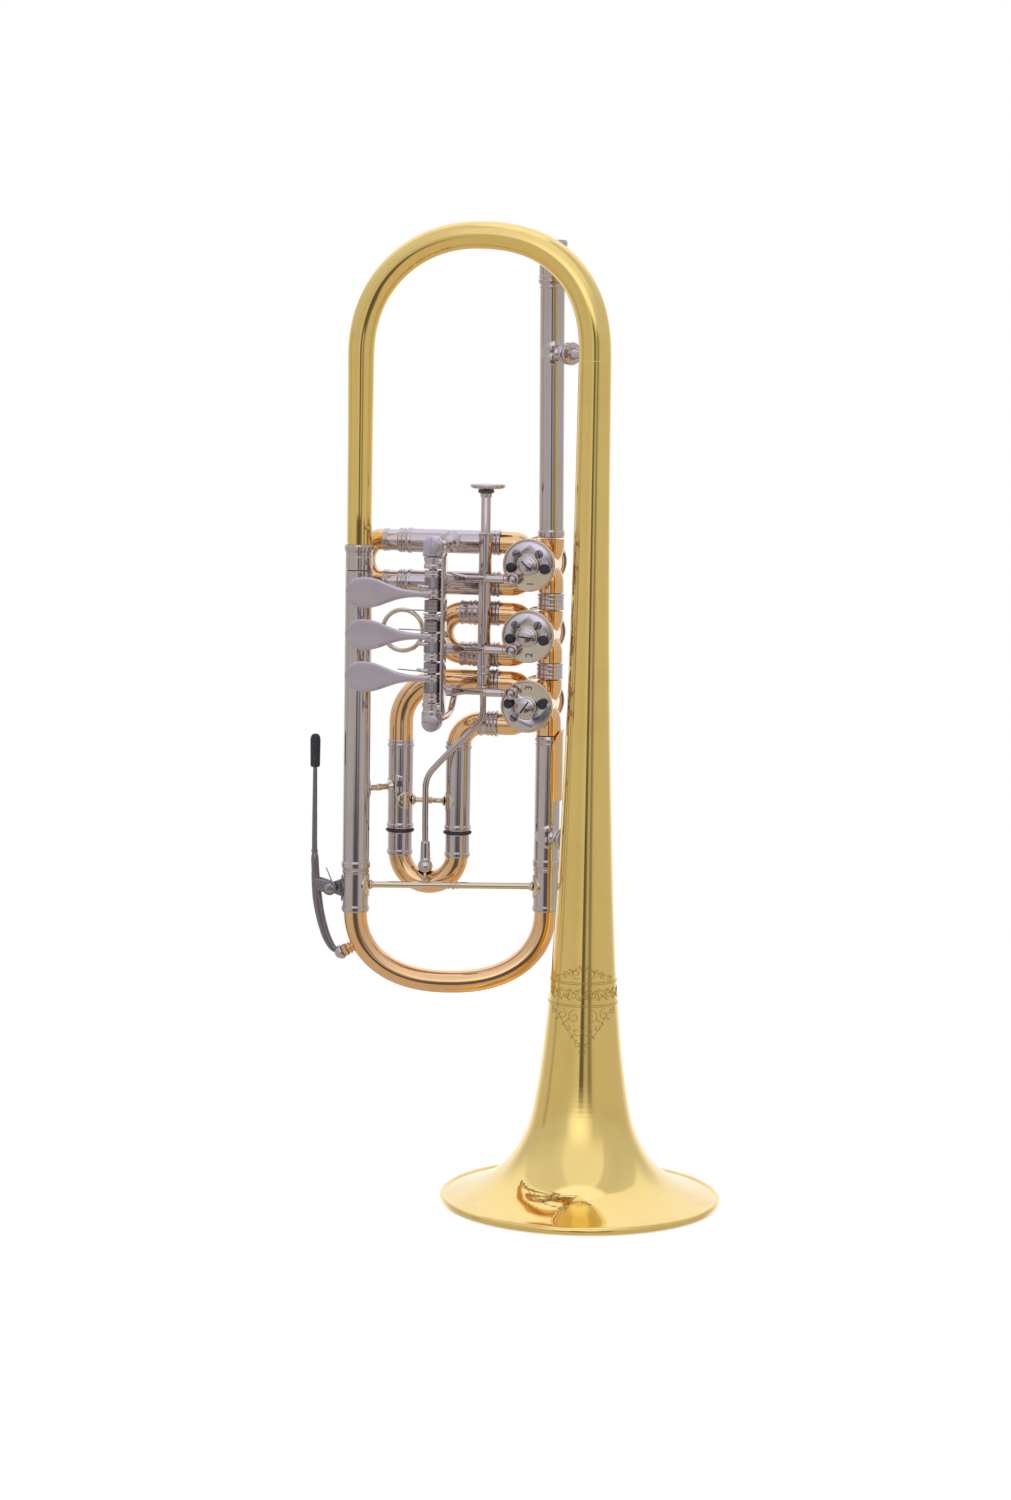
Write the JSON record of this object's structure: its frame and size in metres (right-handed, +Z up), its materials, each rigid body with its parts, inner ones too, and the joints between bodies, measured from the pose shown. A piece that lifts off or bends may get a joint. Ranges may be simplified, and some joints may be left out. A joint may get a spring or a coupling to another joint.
{
  "type": "rotary-valve flugelhorn",
  "caption": "Rotary-valve flugelhorn of trumpet build standing on its bell, with finger levers, push links, valve slides, a third-slide trigger, a tuning slide and a water key.",
  "frame": {"origin": "centre of the footprint of the bounding box, on the plane of the bell rim", "axes": "+Z up along the bell axis from the bell rim towards the top bow, +X from the left leg towards the bell, -Y the side of the finger levers and stop plates"},
  "size_m": [0.1966, 0.13, 0.4482],
  "materials": {
    "yellow_brass": "polished and lacquered",
    "gold_brass": "polished and lacquered gold brass",
    "nickel_silver": "polished nickel silver",
    "satin_nickel": "satin nickel silver",
    "dark_steel": "dark steel",
    "black_rubber": "matt black",
    "cork": "cork"
  },
  "bodies": {
    "horn_frame": {"bell": "yellow_brass", "bell_rim_bead": "yellow_brass", "bell_bow": "yellow_brass", "left_leg_ferrule": "nickel_silver", "left_leg_tube": "nickel_silver", "right_leg_tube": "nickel_silver", "leadpipe": "nickel_silver", "mouthpiece_receiver": "nickel_silver", "hand_guard": "gold_brass", "valve_casing_1": "gold_brass", "valve_casing_2": "gold_brass", "valve_casing_3": "gold_brass", "valve_connector_12": "nickel_silver", "valve_connector_23": "nickel_silver", "stop_plate_1": "satin_nickel", "stop_plate_2": "satin_nickel", "stop_plate_3": "satin_nickel", "rear_cap_1": "nickel_silver", "rear_cap_2": "nickel_silver", "rear_cap_3": "nickel_silver", "slide1_outer_upper": "nickel_silver", "slide1_outer_lower": "nickel_silver", "slide3_outer_left": "nickel_silver", "slide3_outer_right": "nickel_silver", "trigger_guide": "nickel_silver", "lever_carriage": "nickel_silver", "lever_spindle": "nickel_silver", "lever_spring_1": "dark_steel", "lever_spring_2": "dark_steel", "lever_spring_3": "dark_steel", "finger_ring": "nickel_silver", "bell_brace_upper": "nickel_silver", "bell_brace_lower": "nickel_silver", "slide_brace_leg": "nickel_silver", "slide_brace_pair": "nickel_silver"},
    "slide1": {"slide1_crook": "gold_brass"},
    "slide2": {"slide2_crook": "gold_brass"},
    "slide3": {"slide3_crook": "gold_brass", "trigger_rod": "nickel_silver", "trigger_button": "nickel_silver", "trigger_felt": "black_rubber"},
    "tuning_slide": {"tuning_bow": "gold_brass", "tuning_sleeve_left": "nickel_silver", "tuning_sleeve_right": "nickel_silver", "tuning_brace": "nickel_silver"},
    "water_key": {"water_key": "dark_steel", "water_key_tip": "black_rubber", "water_key_cork": "cork"},
    "rotor_1": {"rotor_1": "yellow_brass", "stop_arm_1": "nickel_silver"},
    "link_1": {"link_1": "nickel_silver"},
    "lever_1": {"lever_1": "satin_nickel"},
    "rotor_2": {"rotor_2": "yellow_brass", "stop_arm_2": "nickel_silver"},
    "link_2": {"link_2": "nickel_silver"},
    "lever_2": {"lever_2": "satin_nickel"},
    "rotor_3": {"rotor_3": "yellow_brass", "stop_arm_3": "nickel_silver"},
    "link_3": {"link_3": "nickel_silver"},
    "lever_3": {"lever_3": "satin_nickel"}
  },
  "joints": [
    {"name": "lever_1_press", "type": "hinge", "parent": "horn_frame", "child": "lever_1", "pos_m": [-0.03488, -0.02352, 0.2811], "axis": [0, 0, -1], "range_deg": [0, 28]},
    {"name": "rotor_1_turn", "type": "hinge", "parent": "horn_frame", "child": "rotor_1", "pos_m": [0.00313, 0.024, 0.2932], "axis": [0, -1, 0], "range_deg": [0, 90]},
    {"name": "link_1_swivel", "type": "hinge", "parent": "rotor_1", "child": "link_1", "pos_m": [-0.00324, 0.002, 0.28684], "axis": [0, 1, 0], "range_deg": [0, 90]},
    {"name": "lever_2_press", "type": "hinge", "parent": "horn_frame", "child": "lever_2", "pos_m": [-0.03488, -0.02352, 0.262], "axis": [0, 0, -1], "range_deg": [0, 28]},
    {"name": "rotor_2_turn", "type": "hinge", "parent": "horn_frame", "child": "rotor_2", "pos_m": [0.00313, 0.024, 0.2605], "axis": [0, -1, 0], "range_deg": [0, 90]},
    {"name": "link_2_swivel", "type": "hinge", "parent": "rotor_2", "child": "link_2", "pos_m": [-0.00324, 0.002, 0.25414], "axis": [0, 1, 0], "range_deg": [0, 90]},
    {"name": "lever_3_press", "type": "hinge", "parent": "horn_frame", "child": "lever_3", "pos_m": [-0.03488, -0.02352, 0.2429], "axis": [0, 0, -1], "range_deg": [0, 28]},
    {"name": "rotor_3_turn", "type": "hinge", "parent": "horn_frame", "child": "rotor_3", "pos_m": [0.00313, 0.024, 0.2282], "axis": [0, 1, 0], "range_deg": [0, 90]},
    {"name": "link_3_swivel", "type": "hinge", "parent": "rotor_3", "child": "link_3", "pos_m": [-0.00324, 0.002, 0.23456], "axis": [0, -1, 0], "range_deg": [0, 90]},
    {"name": "slide1_pull", "type": "slide", "parent": "horn_frame", "child": "slide1", "axis": [-1, 0, 0], "range_m": [0, 0.018]},
    {"name": "slide2_pull", "type": "slide", "parent": "horn_frame", "child": "slide2", "axis": [-1, 0, 0], "range_m": [0, 0.008]},
    {"name": "slide3_trigger", "type": "slide", "parent": "horn_frame", "child": "slide3", "axis": [0, 0, -1], "range_m": [0, 0.016]},
    {"name": "tuning_slide_pull", "type": "slide", "parent": "horn_frame", "child": "tuning_slide", "axis": [0, 0, -1], "range_m": [0, 0.03]},
    {"name": "water_key_press", "type": "hinge", "parent": "tuning_slide", "child": "water_key", "pos_m": [-0.08787, 0.004, 0.1403], "axis": [0, 1, 0], "range_deg": [0, 7]}
  ],
  "couplings": [
    {"joint": "rotor_1_turn", "follows": "lever_1_press", "ratio": 3.2142},
    {"joint": "link_1_swivel", "follows": "lever_1_press", "ratio": 3.2142},
    {"joint": "rotor_2_turn", "follows": "lever_2_press", "ratio": 3.2142},
    {"joint": "link_2_swivel", "follows": "lever_2_press", "ratio": 3.2142},
    {"joint": "rotor_3_turn", "follows": "lever_3_press", "ratio": 3.2142},
    {"joint": "link_3_swivel", "follows": "lever_3_press", "ratio": 3.2142}
  ]
}
